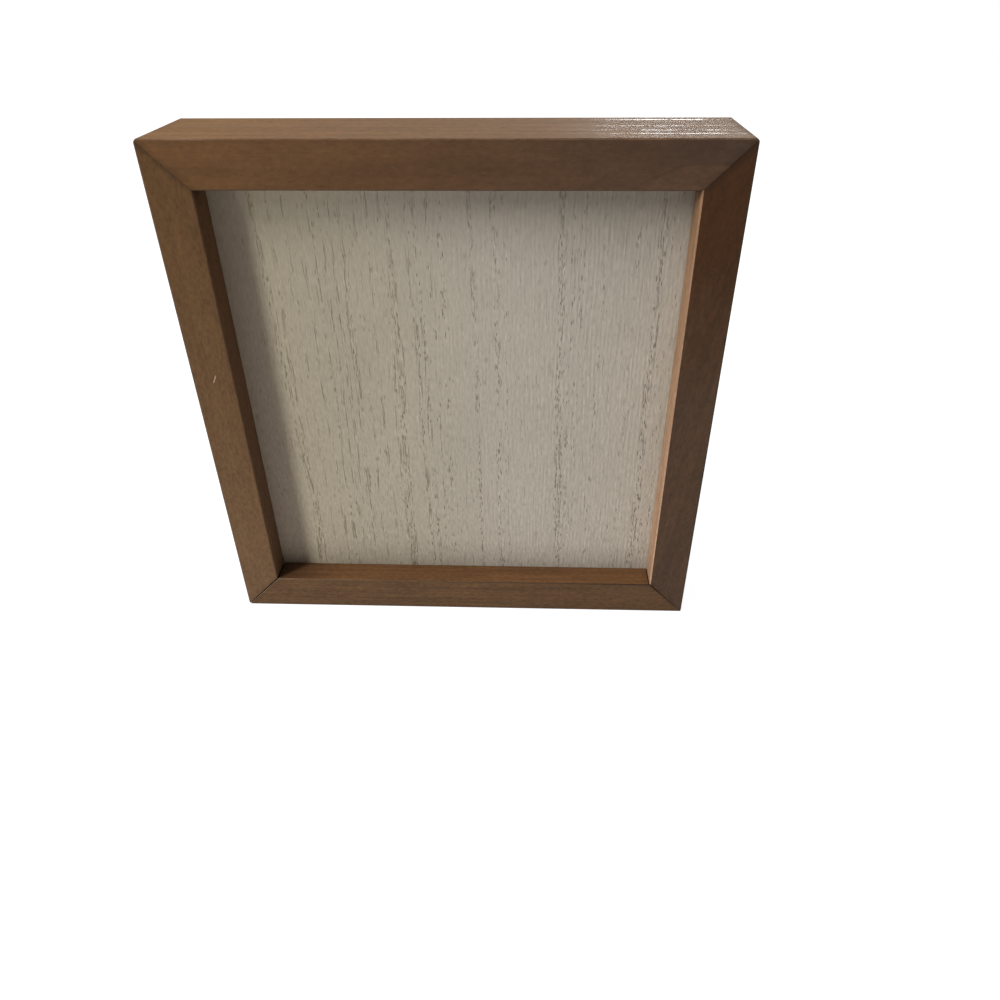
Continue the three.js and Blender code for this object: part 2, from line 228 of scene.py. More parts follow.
# %% Start a finish and stretch a noise along the grain
class Finish(Graph):
    """A material whose patterns sit on the piece's own coordinates, in metres."""

    def __init__(self, name, slant=0.0, **sockets):
        self.material = bpy.data.materials.new(name)
        super().__init__(self.material)
        self.shader = self.tree.nodes["Principled BSDF"]
        place = self.add("TexCoord").outputs["Object"]
        self.x, self.y, self.z = self.add("SeparateXYZ", {0: place}).outputs
        if slant:
            turn = {"Vector": place, "Axis": (0, 1, 0), "Angle": math.radians(slant)}
            place = self.add("VectorRotate", turn).outputs[0]
        self.place = place
        self.set(**{key.replace("_", " "): value for key, value in sockets.items()})

    def set(self, **sockets):
        self.fill(self.shader, sockets)

    def paint(self, colour):
        self.fill(self.shader, {"Base Color": colour})

    def noise(self, scale, detail=2.0, rough=0.5, start=(0, 0, 0)):
        """Noise with so many features to the metre, along each axis or all."""
        scale = scale if isinstance(scale, tuple) else (scale,) * 3
        sockets = {"Vector": self.place, "Scale": scale, "Location": start}
        where = self.add("Mapping", sockets).outputs[0]
        sockets = {"Vector": where, "Scale": 1.0, "Detail": detail, "Roughness": rough}
        return self.add("TexNoise", sockets).outputs["Fac"]

    def ramp(self, at, low, high, *to):
        """A spread from a range in mm."""
        return self.spread(at, low * MM, high * MM, *to)

    def vary(self, noise, low, high):
        """Carries the part where most of a noise lies to a range of values."""
        return self.spread(noise, 0.3, 0.7, low, high)

    def waver(self, noise, amount):
        """1, more or less by up to an amount, as a noise goes."""
        return self.maths("ADD", self.times(self.vary(noise, -1, 1), amount), 1)

    def away(self, value, middle):
        """Distance from a middle, either way."""
        return self.maths("ABSOLUTE", self.maths("SUBTRACT", value, middle))

    def bump(self, height, distance):
        """Relief of a height in metres, added to what is there."""
        sockets = {"Height": height, "Distance": distance, "Strength": 1.0}
        if self.shader.inputs["Normal"].is_linked:
            sockets["Normal"] = self.shader.inputs["Normal"].links[0].from_socket
        self.set(Normal=self.add("Bump", sockets).outputs[0])


def along_grain(grain, length, across):
    """Features to the metre: few along the grain, many across it."""
    return tuple(length if axis == grain else across for axis in "XYZ")


print("grain along X has the scale", along_grain("X", 9, 110))

# %% [markdown]
# ## Walnut stain
# The stain went on by hand: it is lighter at one end of a rail than at the other, pooled a little along
# the mitres and rubbed through along the edges. So one function takes the tones of a rail's two ends,
# and for an edge also the tone of the wood that shows through. The slant is how far the grain runs off
# the rail's length. One rail shows part of a growth ring, and another has a short scratch.

# %% Stain one rail
def walnut_stain(
    name, grain, tones, seed, slant=0.0, rough=0.62, gritty=0.2, streaky=0.08,
    rubbed=None, figure=None, fade=None, scratch=None,
):
    """Brown stain. tones are those at both ends of the piece, or of the stretch fade."""
    wood = Finish(name, slant, Specular_IOR_Level=0.15)
    start = (seed * 3.7, seed * 1.9, seed * 5.3)
    at, low, high = (wood.x, -SIDE, SIDE) if grain == "X" else (wood.z, 0, HEIGHT)
    if fade:
        low, high = (end * MM for end in fade)
    colour = wood.mix(wood.spread(at, low, high), tone(*tones[0]), tone(*tones[1]))
    if figure:
        colour = growth_ring(wood, colour, start, **figure)

    def layer(along, across, detail=3, sharpness=0.6):
        return wood.noise(along_grain(grain, along, across), detail, sharpness, start)

    broad, cloud = layer(9, 110, 3, 0.55), layer(60, 170)
    line, grit = layer(16, 800), layer(420, 820, 3, 0.65)
    fleck = wood.spread(layer(300, 1500, 1, 0.5), 0.66, 0.74)
    light = wood.times(
        wood.waver(broad, 0.08),
        wood.waver(cloud, 0.09),
        wood.waver(line, streaky),
        wood.waver(grit, gritty),
        wood.spread(fleck, 0, 1, 1.0, 0.8),
        pooled_at_mitres(wood, cloud, 0.5 if grain == "Z" else 0.76),
    )
    colour = wood.shade(colour, light)
    if rubbed:
        patch = layer(45, 240, 4, 0.65)
        bare = wood.shade(tone(*rubbed), light)
        colour = wood.mix(wood.spread(patch, 0.4, 0.68, 0, 0.6), colour, bare)
    wood.paint(colour)
    wood.set(Roughness=wood.vary(line, rough - 0.06, rough + 0.08))
    wood.bump(line, 0.012 * MM)
    wood.bump(grit, 0.02 * MM)
    wood.bump(fleck, -0.03 * MM)
    if scratch:
        wood.paint(scratched(wood, colour, *scratch))
    return wood


def pooled_at_mitres(wood, cloud, darkest):
    """Stain is darker where it pooled along the mitres. On the upper ones it was smeared."""
    up = wood.maths("MINIMUM", wood.z, wood.maths("SUBTRACT", HEIGHT, wood.z))
    along = wood.maths("SUBTRACT", SIDE, wood.maths("ABSOLUTE", wood.x))
    off_line = wood.maths("ABSOLUTE", wood.maths("SUBTRACT", up, along))
    ragged = wood.maths("ADD", off_line, wood.vary(cloud, -1.2 * MM, 1.2 * MM))
    smeared = wood.maths("GREATER_THAN", wood.z, HEIGHT / 2)
    return wood.ramp(ragged, 0, 3.4, wood.spread(smeared, 0, 1, 0.8, darkest), 1.0)


def scratched(wood, colour, start, end):
    """A short scratch, where pale wood shows. start and end are x and z in mm."""
    (x0, z0), (x1, z1) = start, end
    length = math.hypot(x1 - x0, z1 - z0)
    right, up = (x1 - x0) / length, (z1 - z0) / length
    x, z = (wood.maths("SUBTRACT", at, m * MM) for at, m in ((wood.x, x0), (wood.z, z0)))
    along = wood.maths("ADD", wood.times(x, right), wood.times(z, up))
    across = wood.maths("SUBTRACT", wood.times(z, right), wood.times(x, up))
    half = length / 2 * MM
    groove = wood.times(
        wood.spread(wood.away(along, half), half, half - 0.5 * MM),
        wood.ramp(wood.maths("ABSOLUTE", across), 0.34, 0.14),
    )
    wood.bump(groove, -0.12 * MM)
    return wood.mix(wood.times(groove, 0.85), colour, tone(178, 152, 126))


def growth_ring(wood, colour, start, middle, radius, within):
    """Within a growth ring the stain took differently. The ring itself is a thin darker line."""
    x, z = (wood.maths("SUBTRACT", at, m * MM) for at, m in zip((wood.x, wood.z), middle))
    reach = wood.maths("SQRT", wood.maths("ADD", wood.times(x, x), wood.times(z, z)))
    sway = wood.spread(wood.noise(30, 2, 0.5, start), 0, 1, -3 * MM, 3 * MM)
    reach = wood.maths("ADD", reach, sway)
    inside = wood.ramp(reach, radius + 0.2, radius - 0.8)
    colour = wood.mix(inside, colour, tone(*within))
    ring = wood.ramp(wood.away(reach, radius * MM), 0, 0.7, 0.88, 1.0)
    return wood.shade(colour, ring)


print("stain ready")

# %% [markdown]
# ## Shaping helpers
# A piece starts as a block at its size and place and is then worked in edit mode. By hand one would
# click on faces and edges. In code they are picked by where they are or which way they face, so the
# same step works on any piece.

# %% Helpers for edit mode
QUARTER = math.pi / 2
NEAR = 0.001 * MM
KINDS = ("verts", "edges", "faces")


def settle(name, scale=(1, 1, 1)):
    """Names the new object and puts its place, turn and size into its mesh."""
    piece = bpy.context.object
    piece.name = piece.data.name = name
    piece.scale = scale
    bpy.ops.object.transform_apply(location=True, rotation=True, scale=True)
    return piece


def start_block(name, low, high):
    """A block between two corners, alone selected."""
    low, high = Vector(low), Vector(high)
    bpy.ops.mesh.primitive_cube_add(size=1, location=(low + high) / 2)
    return settle(name, high - low)


def start_drill(radius, place, length, sides=32):
    """A rod along Y that starts at a place, for a hole."""
    middle = Vector(place) + Vector((0, length / 2, 0))
    bpy.ops.mesh.primitive_cylinder_add(
        vertices=sides, radius=radius, depth=length, location=middle, rotation=(QUARTER, 0, 0)
    )
    return settle("drill")


def edit(on=True):
    bpy.ops.object.mode_set(mode="EDIT" if on else "OBJECT")


def pick(kind, test):
    """Selects only the faces, edges or points that pass the test."""
    bpy.context.tool_settings.mesh_select_mode = [name == kind for name in KINDS]
    bpy.ops.mesh.select_all(action="DESELECT")
    mesh = bpy.context.object.data
    shape = bmesh.from_edit_mesh(mesh)
    for part in filter(test, list(getattr(shape, kind))):
        part.select_set(True)
    shape.select_flush_mode()
    bmesh.update_edit_mesh(mesh)


def pick_all():
    bpy.ops.mesh.select_all(action="SELECT")


def slice_at(point, normal, trim=False):
    """Cuts all faces along a plane. With trim, what lies beyond it goes and the cut is closed."""
    pick_all()
    normal = Vector(normal).normalized()
    cut = {"use_fill": trim, "clear_outer": trim, "threshold": NEAR}
    bpy.ops.mesh.bisect(plane_co=point, plane_no=normal, **cut)


def lift(height):
    bpy.ops.transform.translate(value=(0, 0, height))


def soften(width, segments=2, corners=False, clamp=True):
    """Rounds the selected edges, or corners. Without clamp, short neighbours don't shrink it."""
    kind = "VERTICES" if corners else "EDGES"
    bpy.ops.mesh.bevel(offset=width, segments=segments, affect=kind, clamp_overlap=clamp)


def paint_picked(slot):
    """Gives the selected faces one of the piece's materials."""
    bpy.context.object.active_material_index = slot
    bpy.ops.object.material_slot_assign()


def paint_faces(slot, test):
    pick("faces", test)
    paint_picked(slot)


def sharp(edge, least):
    return edge.calc_face_angle(0) > math.radians(least)


def break_edges(width, segments=2, least=40):
    """Rounds every edge that is sharper than an angle in degrees."""
    edit()
    pick("edges", lambda e: sharp(e, least))
    soften(width, segments)
    edit(False)


print("edit helpers ready for", ", ".join(KINDS))

# %% Helpers for whole pieces
SMOOTH_ANGLE = math.radians(35)


def give(piece, *finishes):
    """Adds finishes to a piece. Its faces take the first."""
    for finish in finishes:
        piece.data.materials.append(finish.material)


def apply_modifier(piece, kind, **settings):
    modifier = piece.modifiers.new(kind.lower(), kind)
    for key, value in settings.items():
        setattr(modifier, key, value)
    bpy.context.view_layer.objects.active = piece
    bpy.ops.object.modifier_apply(modifier=modifier.name)


def cut_out(piece, cutters):
    """Cuts shapes out of a piece, and removes them."""
    for cutter in cutters:
        apply_modifier(piece, "BOOLEAN", operation="DIFFERENCE", solver="EXACT", object=cutter)
        bpy.data.meshes.remove(cutter.data)
    bpy.ops.object.select_all(action="DESELECT")
    piece.select_set(True)


def copy_of(piece, name):
    """A copy with its own mesh, alone selected."""
    bpy.ops.object.select_all(action="DESELECT")
    piece.select_set(True)
    bpy.context.view_layer.objects.active = piece
    bpy.ops.object.duplicate(linked=False)
    return settle(name)


def place_piece(piece, place=(0, 0, 0), turn=0.0):
    """Turns a piece about Y, moves it, and puts both into its mesh."""
    piece.rotation_euler.y = turn
    piece.location = place
    bpy.ops.object.transform_apply(location=True, rotation=True, scale=True)
    bpy.ops.object.shade_smooth_by_angle(angle=SMOOTH_ANGLE)
    apply_modifier(piece, "WEIGHTED_NORMAL", keep_sharp=True)


def hand_over(piece, node, body="frame", place=(0, 0, 0), turn=0.0):
    """Places a piece, which stands for a measured node and moves with a body."""
    place_piece(piece, place, turn)
    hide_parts(node)
    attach(piece, body)
    print(piece.name, "stands for", node, "with", len(piece.data.polygons), "faces")


def set_copy(master, name, node, at, seat, turn=0.0, body="frame"):
    """A copy of a small piece, seated at a given y with its axis through a point."""
    hand_over(copy_of(master, name), node, body, (at.x, seat, at.z), turn)


def middle_of(node):
    low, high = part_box(node)
    return (low + high) / 2


print("piece helpers ready")

# %% [markdown]
# ## Rails and stiles
# Each rail is a bar of L-shaped section: a lip in front, and behind it a thinner edge that leaves a
# rebate for the panel. Planing left low ridges along its outside. The ends are cut at 45 degrees and
# the edges sanded round. A mirrored half could save work, but no two corners are alike: the upper mitres
# are tight, the lower ones have opened towards the inside, and each outer corner is worn in its own way.
# So one function makes a rail from a block, always as a top rail, and turns it into its place.

# %% Cut the bar and its ends
ARRIS = 0.6 * MM  # roundness of the sanded edges
# in mm, worn unevenly
CORNER_RADII = {"top_left": 1.6, "top_right": 1.5, "bottom_right": 1.0, "bottom_left": 1.5}
CORNER_ZONE = 5 * MM  # no corner is rounded further in than this
CORNER_TURNS = (11, 22, 33, 44)  # planes that trim an outer corner round
EASES = {"bottom_right": 0.12, "bottom_left": 0.15}  # mm broken off the edges of an open mitre
# y in mm and slant of the planing ridges
CRESTS = ((-12.6, 0.012), (-5.0, -0.008), (1.2, 0.02), (14.8, 0.006))
CREST_HALF, CREST_HEIGHT = 1.3 * MM, 0.14 * MM


def model_bar(name, half):
    """An L-shaped bar along X with its outside at z = 0 and ridges along it."""
    bar = start_block(name, (-half, FRONT, -FACE), (half, SHOULDER, 0))
    edit()
    slice_at((0, 0, -EDGE), (0, 0, 1))
    pick("faces", lambda f: f.normal.y > 0.9 and f.calc_center_median().z > -EDGE)
    bpy.ops.mesh.extrude_region_move(TRANSFORM_OT_translate={"value": (0, BACK - SHOULDER, 0)})
    pick_all()
    bpy.ops.mesh.dissolve_limited(angle_limit=math.radians(1))
    for crest, slant in CRESTS:
        for side in (-CREST_HALF, 0, CREST_HALF):
            slice_at((0, crest * MM + side, 0), (-slant, 1, 0))

    def in_valley(v):
        between = FRONT + ARRIS < v.co.y < BACK - ARRIS
        off_crests = all(abs(v.co.y - crest * MM - slant * v.co.x) > NEAR for crest, slant in CRESTS)
        return v.co.z > -NEAR and between and off_crests

    pick("verts", in_valley)
    lift(-CREST_HEIGHT)
    return bar


def trim_ends(half, cuts, corners):
    """Cuts both mitres and rounds the outer corners. A cut is its outer place and its slope."""
    for (end, (tip, slope)), corner in zip(cuts.items(), corners):
        seam = Vector((end, 0, -slope)).normalized()
        slice_at((end * tip, 0, 0), seam, trim=True)
        if corner in EASES:
            way = (seam + Vector((0, -1, 0))).normalized()
            front_tip = Vector((end * tip, FRONT, 0))
            slice_at(front_tip - EASES[corner] * MM / math.sqrt(2) * way, way, trim=True)
        radius = CORNER_RADII[corner] * MM
        for turn in map(math.radians, CORNER_TURNS):
            way = Vector((end * math.sin(turn), 0, math.cos(turn)))
            centre = Vector((end * (half - radius), 0, -radius))
            slice_at(centre + radius * way, way, trim=True)


print(len(CRESTS), "ridges", CREST_HEIGHT / MM, "mm high")

# %% Round its edges and give its faces their finishes
# a rail's finishes in order; faces that aren't picked keep the first, the finish of its front
OUTSIDE_SLOT, INNER_SLOT, LIP_SLOT, ARRIS_SLOT, BACK_SLOT, SEAM_SLOT, BARE_SLOT = range(1, 8)


def finish_rail(cuts, corners):
    def on_seam(part):
        points = [v.co for v in part.verts]
        side = math.copysign(1, points[0].x)
        tip, slope = cuts[side]
        return all(abs(p.x * side - tip - slope * p.z) < NEAR for p in points)

    def on_arris(edge):
        points = [v.co for v in edge.verts]
        in_front = max(p.y for p in points) < FRONT + NEAR
        outside = min(p.y for p in points) > BACK - NEAR and min(p.z for p in points) > -CORNER_ZONE
        return (in_front or outside) and not on_seam(edge) and sharp(edge, 60)

    paint_faces(OUTSIDE_SLOT, lambda f: f.normal.z > 0.7 and f.calc_center_median().z > -CORNER_ZONE)
    paint_faces(INNER_SLOT, lambda f: f.normal.z < -0.9 and f.calc_center_median().z < -FACE + NEAR)
    paint_faces(BACK_SLOT, lambda f: f.normal.y > 0.9 and f.calc_center_median().y > BACK - NEAR)
    paint_faces(SEAM_SLOT, on_seam)
    for end, corner in zip(cuts, corners):
        if corner == "bottom_left":
            paint_faces(BARE_SLOT, lambda f: -0.9 < f.normal.y < -0.5 and f.normal.x * end > 0)
    for inner, slot in ((False, ARRIS_SLOT), (True, LIP_SLOT)):
        pick("edges", lambda e: on_arris(e) and (max(v.co.z for v in e.verts) < -FACE + NEAR) == inner)
        soften(ARRIS, 3, clamp=False)
        paint_picked(slot)


print("rails take", BARE_SLOT + 1, "finishes each")

# %% Cut what its nails and screws need, and make a whole rail
V_NAIL_HALF = 0.3 * MM
ROOM = 0.1 * MM  # round a nail in its slot


def nail_slots(half):
    """Blocks that cut one leg of each V-nail into both ends of a rail."""
    cutters = []
    for depth in ("back", "lip"):
        low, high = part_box(f"v_nail_{depth}_top_left")
        inset = low.x + V_NAIL_HALF + SIDE
        leg = high.x - low.x - V_NAIL_HALF
        for end in (-1, 1):
            ends = [end * (half - inset + 2 * V_NAIL_HALF + ROOM), end * (half - inset - leg - ROOM)]
            nearest = min(ends), low.y - ROOM, -inset - V_NAIL_HALF - ROOM
            furthest = max(ends), high.y + 3 * ROOM, -inset + V_NAIL_HALF + ROOM
            cutters.append(start_block("slot", nearest, furthest))
    return cutters


SEAMS = {  # clockwise; mm that a mitre stands open at its outer and at its inner end
    "top_left": (0.005, 0.005),
    "top_right": (0.005, 0.03),
    "bottom_right": (0.02, 0.45),
    "bottom_left": (0.3, 0.62),
}


def model_rail(name, length, corners, finishes, holes):
    """A rail along X with its outside at z = 0, between two corners of the frame."""
    half = length / 2
    cuts = {}
    for end, corner in zip((-1, 1), corners):
        outer, inner = (gap * MM / math.sqrt(2) for gap in SEAMS[corner])
        cuts[end] = half - outer, 1 + (inner - outer) / FACE
    rail = model_bar(name, half)
    trim_ends(half, cuts, corners)
    give(rail, *finishes)
    finish_rail(cuts, corners)
    edit(False)
    drills = [start_drill(r, (x, BACK - deep, -EDGE / 2), 2 * deep, 24) for x, r, deep in holes]
    cut_out(rail, nail_slots(half) + drills)
    return rail


print("V-nails are", 2 * V_NAIL_HALF / MM, "mm thick")

# %% [markdown]
# ### The four rails
# Each rail was a different stick, so each has its own tones: the left stile is the palest, the top rail
# fades from warm to grey, and the right stile is dark with a reddish top. On its inside the stain is
# thin and pale wood shows, and light is painted in too: its inner wall and front edge are painted
# brighter, as lit from the left and as a highlight, and darker towards the top, as painted shade under
# the top rail. Its outer edges are painted darker than its face, as shade, besides being rubbed. On
# the bottom rail's inner wall a painted shadow of the left stile darkens the left end. The raw wood in
# the mitres is nearly black in the open seam, and pale where an edge broke.

# %% Finishes of a rail
def raw_wood(name, dark, pale, scale, rough, shine=0.1):
    """Wood without stain, mottled between two tones."""
    wood = Finish(name, Roughness=rough, Specular_IOR_Level=shine)
    wood.paint(wood.mix(wood.noise(scale, 3), tone(*dark), tone(*pale)))
    return wood


raw_seam = raw_wood("raw_seam", (14, 10, 7), (44, 30, 20), 900, 0.85)
bare_edge = raw_wood("bare_edge", (90, 68, 48), (158, 130, 102), 700, 0.8)


def back_edge(name, grain, seed):
    """The back edge took only a thin, streaky coat, and the saw left fine lines across it."""
    wood = walnut_stain(name, grain, ((152, 114, 80), (142, 105, 72)), seed, rough=0.78, gritty=0.1)
    streak = wood.noise(along_grain(grain, 16, 620), 3, 0.6)
    saw = wood.noise(along_grain("Z" if grain == "X" else "X", 60, 1100), 2)
    light = wood.times(wood.vary(streak, 0.74, 1.22), wood.waver(saw, 0.06))
    colour = wood.shader.inputs["Base Color"].links[0].from_socket
    wood.paint(wood.shade(colour, light))
    wood.bump(saw, 0.03 * MM)
    return wood


def polish_crests(wood):
    """Handling polished the top towards the right, and its ridges most of all."""
    crest = 0.0
    for middle, slant in CRESTS:
        line = wood.maths("ADD", wood.times(wood.x, slant), middle * MM)
        crest = wood.maths("MAXIMUM", wood.ramp(wood.away(wood.y, line), 1.1, 0.2), crest)
    handled = wood.times(wood.ramp(wood.x, 30, 55), wood.spread(wood.x, SIDE - MM, SIDE - 3 * MM))
    broken = wood.spread(wood.noise((110, 900, 1), 3, 0.6), 0.38, 0.52)
    streak = wood.spread(wood.noise((45, 2200, 1), 2, 0.6), 0.35, 0.65, 0.09, 0.23)
    gloss = wood.maths("ADD", wood.times(crest, broken, 0.34), streak)
    dull = wood.shader.inputs["Roughness"].links[0].from_socket
    wood.set(Roughness=wood.maths("SUBTRACT", dull, wood.times(gloss, handled)))


FACE_MARKS = ("figure", "fade", "scratch", "gritty", "streaky")


def rail_finishes(name, grain, seed, look):
    """All finishes of a rail, in the order of its slots."""

    def stain(part, tones, more, **settings):
        return walnut_stain(f"{name}_{part}", grain, tones, seed + more, **settings)

    face, slant = look["face"], look.get("slant", 0)
    marks = {mark: look[mark] for mark in FACE_MARKS if mark in look}
    return [
        stain("face", face, 1, slant=slant, **marks),
        stain("outside", look.get("outside", face), 8, slant=slant, rough=0.7, streaky=0.2),
        stain("inner", look["inner"], 4, fade=look.get("inner_fade"), streaky=0.2),
        stain("lip", look["lip"], 16),
        stain("arris", look.get("arris", face), 6, rubbed=look["rubbed"]),
        back_edge(name + "_back", grain, seed + 12),
        raw_seam,
        bare_edge,
    ]


print("shared finishes:", raw_seam.material.name, bare_edge.material.name)

# %% Make the four rails
RAILS = {  # clockwise; tones run from the low to the high end, and lip is the inner wall's front edge
    "top_rail": {
        "place": (0, 0, HEIGHT), "gritty": 0.14, "streaky": 0.06,
        "face": ((103, 71, 41), (71, 53, 41)), "outside": ((102, 72, 40), (96, 75, 56)),
        "inner": ((96, 70, 48), (80, 60, 46)), "lip": ((100, 74, 50), (80, 60, 46)),
        "rubbed": (118, 90, 66),
        "figure": {"middle": (88, 143), "radius": 49.6, "within": (80, 58, 42)},
    },
    "right_stile": {
        "place": (SIDE, 0, HEIGHT / 2), "slant": -9, "streaky": 0.14,
        "face": ((75, 55, 40), (61, 36, 15)), "fade": (105, 165),
        # inner, inner_fade and lip: thin stain, with painted light where the wall and its front edge catch
        # the left window, and painted shade towards the top
        "inner": ((165, 132, 105), (139, 106, 77)), "inner_fade": (70, 200),
        "lip": ((186, 150, 122), (144, 108, 82)),
        # arris: rubbed wear, and painted shade that makes the outer edges darker than the face
        "arris": ((58, 50, 44), (44, 37, 26)), "rubbed": (84, 70, 58),
    },
    "bottom_rail": {
        "place": (0, 0, 0), "gritty": 0.22, "streaky": 0.2,
        "face": ((100, 74, 50), (90, 65, 43)), "lip": ((114, 88, 64), (40, 28, 19)),
        # inner and inner_fade: painted shadow of the left stile darkens the inner wall towards its left
        # end
        "inner": ((64, 42, 25), (101, 70, 43)), "inner_fade": (-84, -54),
        "arris": ((86, 70, 58), (80, 64, 56)), "rubbed": (104, 84, 70),
    },
    "left_stile": {
        "place": (-SIDE, 0, HEIGHT / 2), "face": ((115, 87, 61), (92, 64, 36)),
        "inner": ((104, 78, 56), (90, 62, 40)), "lip": ((100, 74, 52), (88, 62, 40)),
        "arris": ((104, 88, 72), (92, 76, 60)), "rubbed": (128, 104, 82),
        "scratch": ((-90.6, 117.0), (-92.3, 113.6)),
    },
}
screw_low, screw_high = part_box("button_screw_upper_left")
nail_low, nail_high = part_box("hanger_nail_left")
PILOT_GAP = 0.2 * MM
SCREW_RADIUS, NAIL_RADIUS = 1.5 * MM, 0.75 * MM
screw_at = (screw_low.z + screw_high.z - HEIGHT) / 2
nail_at = (nail_low.x + nail_high.x) / 2


def pilot_holes(at, radius, tip):
    """A hole on either side of the middle, each as its x, radius and depth."""
    return [(x, radius + PILOT_GAP, BACK - tip + PILOT_GAP) for x in (-at, at)]


corners = list(SEAMS)
for turns, (node, look) in enumerate(RAILS.items()):
    name = "_".join(reversed(node.split("_")))
    grain = "XZ"[turns % 2]
    finishes = rail_finishes(name, grain, turns, look)
    holes = []
    if grain == "Z":
        holes = pilot_holes(screw_at, SCREW_RADIUS, screw_low.y)
    elif node == "top_rail":
        polish_crests(finishes[OUTSIDE_SLOT])
        holes = pilot_holes(nail_at, NAIL_RADIUS, nail_low.y)
    length = 2 * SIDE if grain == "X" else HEIGHT
    between = corners[turns], corners[(turns + 1) % len(corners)]
    rail = model_rail(name, length, between, finishes, holes)
    hand_over(rail, node, place=look["place"], turn=turns * QUARTER)

# %% [markdown]
# ## Display panel
# The board behind the opening is ash or something like it, brushed and limed: white was rubbed over it
# and wiped off, and the open pores of each growth ring stayed dark. They show as upright rows of
# dashes. A wave pattern would repeat, and painting each dash would take days. Here a pattern of cells
# is stretched along the grain, and each cell holds one dash at most. Near a growth ring most cells have
# one, elsewhere hardly any. Between the rings, towards the right, fine upright lines run closer
# together. Light and shade are painted into the wash: painted shade at the upper right and low down,
# painted light at the upper left, and a painted shadow tone along the left edge, where the left stile's
# shadow falls.

# %% Growth rings
RINGS = [
    # where it meets the panel's top and bottom edge and its half width, in mm,
    # then its share of long and of short pores
    (-69.5, -64.0, 1.3, 0.75, 0.35), (-62.8, -66.5, 1.0, 0.85, 0.30), (-57.6, -58.5, 0.6, 0.40, 0.15),
    (-52.6, -53.5, 0.9, 0.55, 0.15), (-48.5, -49.5, 0.9, 0.50, 0.30), (-45.6, -46.0, 0.8, 0.60, 0.20),
    (-42.0, -43.8, 0.8, 0.70, 0.20), (-38.2, -40.6, 1.2, 0.80, 0.40), (-33.0, -36.0, 0.8, 0.40, 0.15),
    (-29.2, -30.2, 1.0, 0.60, 0.20), (-24.8, -24.2, 0.8, 0.60, 0.40), (-21.6, -22.4, 1.3, 0.95, 0.70),
    (-15.6, -13.4, 0.9, 0.50, 0.50), (-12.8, -10.4, 0.9, 0.55, 0.50), (-8.0, -7.0, 0.8, 0.35, 0.30),
    (-3.5, -4.0, 1.0, 0.20, 0.30), (7.0, 9.2, 0.8, 0.50, 0.75), (15.3, 17.8, 1.3, 0.20, 0.52),
    (19.0, 21.0, 1.0, 0.10, 0.22), (40.0, 42.8, 1.6, 0.36, 0.68), (44.2, 45.2, 0.8, 0.15, 0.30),
    (48.0, 47.4, 1.0, 0.10, 0.26), (55.3, 55.0, 0.8, 0.15, 0.30), (66.5, 68.0, 0.8, 0.15, 0.25),
    (74.6, 76.4, 1.5, 0.40, 0.66), (78.2, 79.6, 1.0, 0.10, 0.24), (81.4, 81.8, 1.0, 0.10, 0.20),
]


def ring_shares(wood, across, spare):
    """How common long and short pores are at a place. spare holds far from any ring."""
    long_share, short_share = spare
    for top, bottom, half, long, short in RINGS:
        middle = wood.spread(wood.z, panel_high.z, panel_low.z, top * MM, bottom * MM)
        near = wood.ramp(wood.away(across, middle), 1.2 * half, 0.7 * half)
        long_share = wood.maths("MAXIMUM", wood.times(near, long), long_share)
        short_share = wood.maths("MAXIMUM", wood.times(near, short), short_share)
    return long_share, short_share


def pores(wood, across, width, length, share, start):
    """Dashes along the grain. share is the part of the stretched cells that have one."""
    column = wood.maths("ADD", wood.times(across, 1 / width), start)
    row = wood.maths("ADD", wood.times(wood.z, 1 / length), start)
    where = wood.add("CombineXYZ", {0: column, 1: row}).outputs[0]
    cell = wood.add("TexVoronoi", {"Vector": where, "Scale": 1.0}, voronoi_dimensions="2D").outputs
    chance, size, depth = wood.add("SeparateColor", {0: cell["Color"]}).outputs
    radius = wood.spread(size, 0, 1, 0.22, 0.5)
    dash = wood.spread(cell["Distance"], radius, wood.times(radius, 0.5))
    depth = wood.times(wood.spread(depth, 0, 1, 0.4, 1.0), wood.spread(share, 0.05, 0.3, 0.5, 1.0))
    return wood.times(dash, wood.maths("LESS_THAN", chance, share), depth)


print(len(RINGS), "growth rings")

# %% Lime the panel
BRUSH_PITCH = 1.62 * MM
ash = Finish("limed_wood", Specular_IOR_Level=0.2)
sway = ash.spread(ash.noise((14, 1, 12), 2), 0, 1, -2 * MM, 2 * MM)
ripple = ash.spread(ash.noise((260, 1, 200), 3, 0.65), 0, 1, -0.3 * MM, 0.3 * MM)
across = ash.maths("ADD", ash.x, ash.maths("ADD", sway, ripple))
ash.place = ash.add("CombineXYZ", {0: across, 1: ash.y, 2: ash.z}).outputs[0]

right = ash.ramp(ash.x, -30, 50)
rightwards = ash.ramp(ash.x, -75, 20)
wash = ash.mix(rightwards, tone(168, 157, 135), tone(179, 170, 156))
upwards = ash.spread(ash.z, panel_low.z, panel_high.z)
# painted shadow tone: along the left edge, where the left stile's shadow falls, the wash is pinker and
# darker higher up
painted_shadow_tone = ash.mix(upwards, tone(175, 158, 140), tone(157, 142, 125))  # along the left edge
off_painted_shadow = ash.ramp(ash.x, -76, -68)
wash = ash.mix(off_painted_shadow, painted_shadow_tone, wash)
cloud = ash.noise((30, 30, 18), 3, 0.55)
tooth = ash.noise((1450, 1, 330), 2, 0.6)
hair = ash.noise((1500, 1, 80), 2, 0.6)
patch = ash.spread(ash.noise((240, 1, 190), 2, 0.6), 0.38, 0.62, 0.1, 1.0)
drift = ash.spread(ash.noise((50, 1, 22), 2), 0, 1, -9, 9)
stroke = ash.maths("SINE", ash.maths("ADD", ash.times(ash.x, 2 * math.pi / BRUSH_PITCH), drift))
brushed = ash.times(stroke, patch, right)
gaps = ash.noise((110, 1, 34), 2, 0.6)
